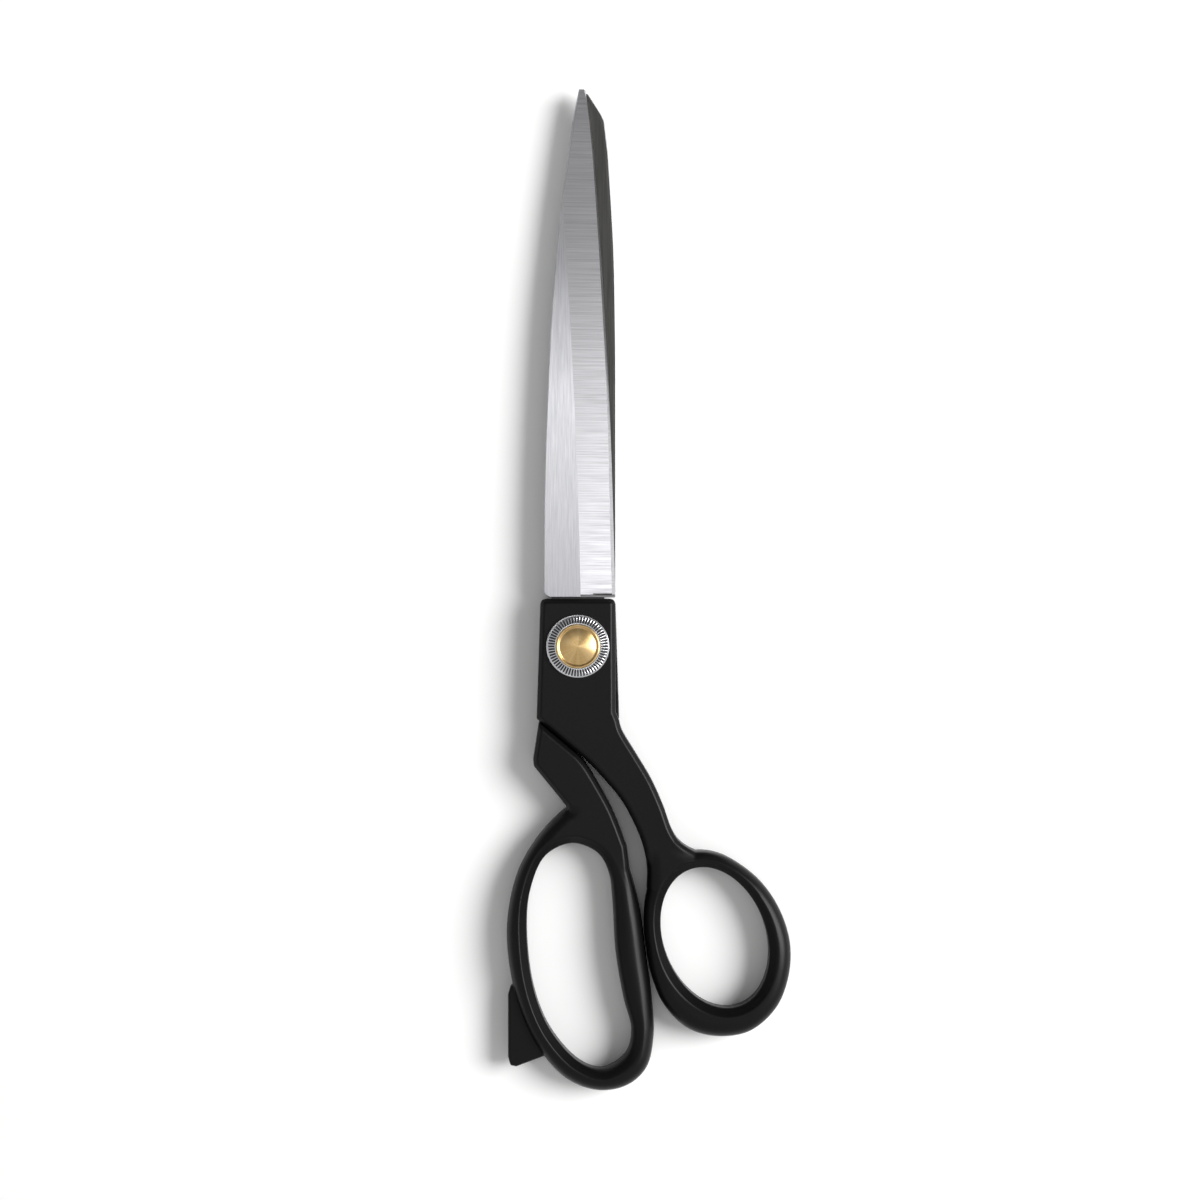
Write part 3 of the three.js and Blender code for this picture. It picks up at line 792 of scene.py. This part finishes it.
def spun_metal(name, dark, light, roughness, per_metre, strength, painted_reflection_sectors=0.0):
    """Turned metal with fine rings round the pivot axis, and lighter and darker sectors round it that are
    painted reflection, standing in for the fans of light on spun metal.
    """
    material, nodes, links, shader = new_material(name, light, roughness, 1.0, Anisotropic=0.5)
    tangent = nodes.new("ShaderNodeTangent")
    tangent.direction_type = "RADIAL"
    tangent.axis = "Z"
    links.new(tangent.outputs["Tangent"], shader.inputs["Tangent"])
    shader.inputs["Anisotropic Rotation"].default_value = 0.25
    flat = place_scaled(nodes, links, (1, 1, 0))
    radius = nodes.new("ShaderNodeVectorMath")
    radius.operation = "LENGTH"
    links.new(flat, radius.inputs[0])
    spread = nodes.new("ShaderNodeCombineXYZ")
    links.new(radius.outputs["Value"], spread.inputs["X"])
    rings = noise(nodes, links, spread.outputs["Vector"], per_metre, 3.0, 0.6)
    unit = nodes.new("ShaderNodeVectorMath")
    unit.operation = "NORMALIZE"
    links.new(flat, unit.inputs[0])
    # Painted reflection: tone that changes with the angle round the axis.
    fan = noise(nodes, links, unit.outputs["Vector"], 1.6, 3.0, 0.6)
    mixed = nodes.new("ShaderNodeMix")
    mixed.inputs["Factor"].default_value = painted_reflection_sectors
    links.new(rings, mixed.inputs["A"])
    links.new(fan, mixed.inputs["B"])
    tone = color_ramp(nodes, links, mixed.outputs["Result"], dark, light, 0.32, 0.66)
    links.new(tone, shader.inputs["Base Color"])
    links.new(ramp(nodes, links, rings, roughness + 0.06, roughness - 0.04), shader.inputs["Roughness"])
    bump(nodes, links, rings, shader, strength, 0.00004)
    return material


# ---------------------------------------------------------------- assembly

def dress(obj, body, slot, material, *nodes):
    """Gives a piece its material, its body and the CAD nodes that it stands for."""
    if material:
        obj.data.materials.append(material)
    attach(obj, body)
    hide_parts(*nodes)


def blade_steels():
    """The ground faces of a blade, in the order of the regions FLAT to EDGE_SIDE."""
    lengthways = {"direction": (1, 0, 0), "anisotropy": 0.75}
    crossways = {"direction": (0, 1, 0), "anisotropy": 0.6}
    flat = ((0.36, 0.36, 0.38), (0.50, 0.50, 0.525))
    bevel = ((0.33, 0.327, 0.343), (0.49, 0.486, 0.503))
    bright = ((0.42, 0.42, 0.44), (0.54, 0.54, 0.56))
    # Painted shade: the blades' inner faces and the tangs get a near-black steel that stands in for the
    # shade and dark reflection on them.
    shaded = ((0.036, 0.036, 0.034), (0.056, 0.055, 0.052))
    # Greys from pivot to tip, brightest halfway and dull at the tip: a painted reflection of the room on the
    # steel.
    flat_painted_reflection = ((0.0, 0.9), (0.45, 1.1), (0.7, 0.55), (1.0, 0.5))
    bevel_painted_reflection = ((0.0, 0.95), (0.5, 1.2), (1.0, 0.7))
    return [
        ground_steel("steel_flat", (2600, 90, 900), flat, 0.34, 0.4, **lengthways, shades=flat_painted_reflection),
        ground_steel("steel_bevel", (30, 2600, 200), bevel, 0.5, 0.55, **crossways, shades=bevel_painted_reflection),
        ground_steel("steel_micro", (60, 3000, 200), bright, 0.35, 0.2, **crossways),
        ground_steel("steel_inner_painted_shade", (1800, 60, 400), shaded, 0.45, 0.2, **lengthways),
        ground_steel("steel_side", (400, 60, 2000), bright, 0.35, 0.2, **lengthways),
    ]


def build():
    coat = black_coat()
    dress(thumb_handle(), "thumb_half", "handle_black", coat, "thumb_handle")
    dress(finger_handle(), "finger_half", "handle_black", coat, "finger_handle")

    grinds = blade_steels()
    for name, node, turn, body in (
        ("front_blade_ground", "front_blade", 1, "thumb_half"),
        ("rear_blade_ground", "rear_blade", -1, "finger_half"),
    ):
        blade = joined(blade_loft(name, node, turn, grinds), tang(name + "_tang", node, turn, grinds[INNER]))
        dress(blade, body, "blade_steel", None, node)

    # The brass carries painted reflection in sectors round its axis, over its turning rings.
    brass = spun_metal("spun_brass", (0.52, 0.33, 0.12), (0.86, 0.63, 0.32), 0.32, 4200, 0.25, 0.6)
    plated = spun_metal("plated_steel", (0.60, 0.605, 0.63), (0.78, 0.785, 0.80), 0.2, 3000, 0.1)
    bronze = spun_metal("turned_bronze", (0.42, 0.26, 0.12), (0.62, 0.42, 0.22), 0.35, 3000, 0.2)
    spring = spun_metal("spring_steel", (0.3, 0.3, 0.31), (0.45, 0.45, 0.46), 0.35, 3000, 0.2)
    dress(pivot_post(), "thumb_half", "pivot_brass", brass, "pivot_post")
    # Painted shade for the washer's grooves: a near-black steel.
    groove_painted_shade = spun_metal("washer_groove_painted_shade", (0.05, 0.05, 0.055), (0.08, 0.08, 0.085), 0.5, 3000, 0.1)
    washer = serrated_washer()
    washer.data.materials.append(plated)
    washer.data.materials.append(groove_painted_shade)
    dress(washer, "thumb_half", "washer_steel", None, "serrated_washer")
    for node, material in (
        ("thrust_washer", bronze),
        ("pivot_bush", bronze),
        ("spring_washer", spring),
        ("tension_screw", plated),
    ):
        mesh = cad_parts[node].data
        mesh.materials.clear()
        mesh.materials.append(material)


# ---------------------------------------------------------------- stage

def floor():
    size = 2.0
    z = -0.0002
    mesh = bpy.data.meshes.new("floor")
    corners = [(-size, -size, z), (size, -size, z), (size, size, z), (-size, size, z)]
    mesh.from_pydata(corners, [], [(0, 1, 2, 3)])
    obj = bpy.data.objects.new("floor", mesh)
    bpy.context.scene.collection.objects.link(obj)
    material, nodes, links, shader = new_material("floor_paper", (0.93, 0.93, 0.925), 0.7)
    tone = noise(nodes, links, place_scaled(nodes, links, (1, 1, 1)), 40, 2.0)
    paper = color_ramp(nodes, links, tone, (0.925, 0.925, 0.92), (0.935, 0.935, 0.93))
    links.new(paper, shader.inputs["Base Color"])
    mesh.materials.append(material)


def area_light(name, location, target, size, power):
    data = bpy.data.lights.new(name, "AREA")
    data.shape = "DISK"
    data.size = size
    data.energy = power
    obj = bpy.data.objects.new(name, data)
    obj.location = location
    aim = Vector(target) - Vector(location)
    obj.rotation_euler = aim.to_track_quat("-Z", "Y").to_euler()
    bpy.context.scene.collection.objects.link(obj)


def lights():
    """A pale room, darker beyond the blade tips, a large soft light from the right and a small one above."""
    world = bpy.data.worlds.new("studio")
    world.use_nodes = True
    nodes = world.node_tree.nodes
    links = world.node_tree.links
    sky = nodes.new("ShaderNodeTexCoord")
    parts = nodes.new("ShaderNodeSeparateXYZ")
    links.new(sky.outputs["Generated"], parts.inputs["Vector"])
    room = ramp(nodes, links, parts.outputs["Y"], 0.62, 0.14, -0.15, 0.5)
    links.new(room, nodes["Background"].inputs["Strength"])
    nodes["Background"].inputs["Color"].default_value = (1, 1, 1, 1)
    bpy.context.scene.world = world
    area_light("key", (1.40, 0.24, 1.22), (0.0, 0.02, 0.0), 1.25, 46)
    area_light("over", (-0.12, 0.25, 1.7), (0.0, 0.08, 0.0), 0.3, 0.9)


def camera():
    """Looks straight down, over the middle of the picture."""
    middle = (0.0067, 0.0140)
    picture = 0.366
    distance = 0.9
    data = bpy.data.cameras.new("camera")
    data.sensor_width = 36
    data.lens = data.sensor_width * distance / picture
    data.clip_start = 0.01
    obj = bpy.data.objects.new("camera", data)
    obj.location = (middle[0], middle[1], MID_Z * MM + distance)
    bpy.context.scene.collection.objects.link(obj)
    bpy.context.scene.camera = obj


camera()
lights()
floor()
build()
bpy.context.scene.view_settings.view_transform = "Standard"
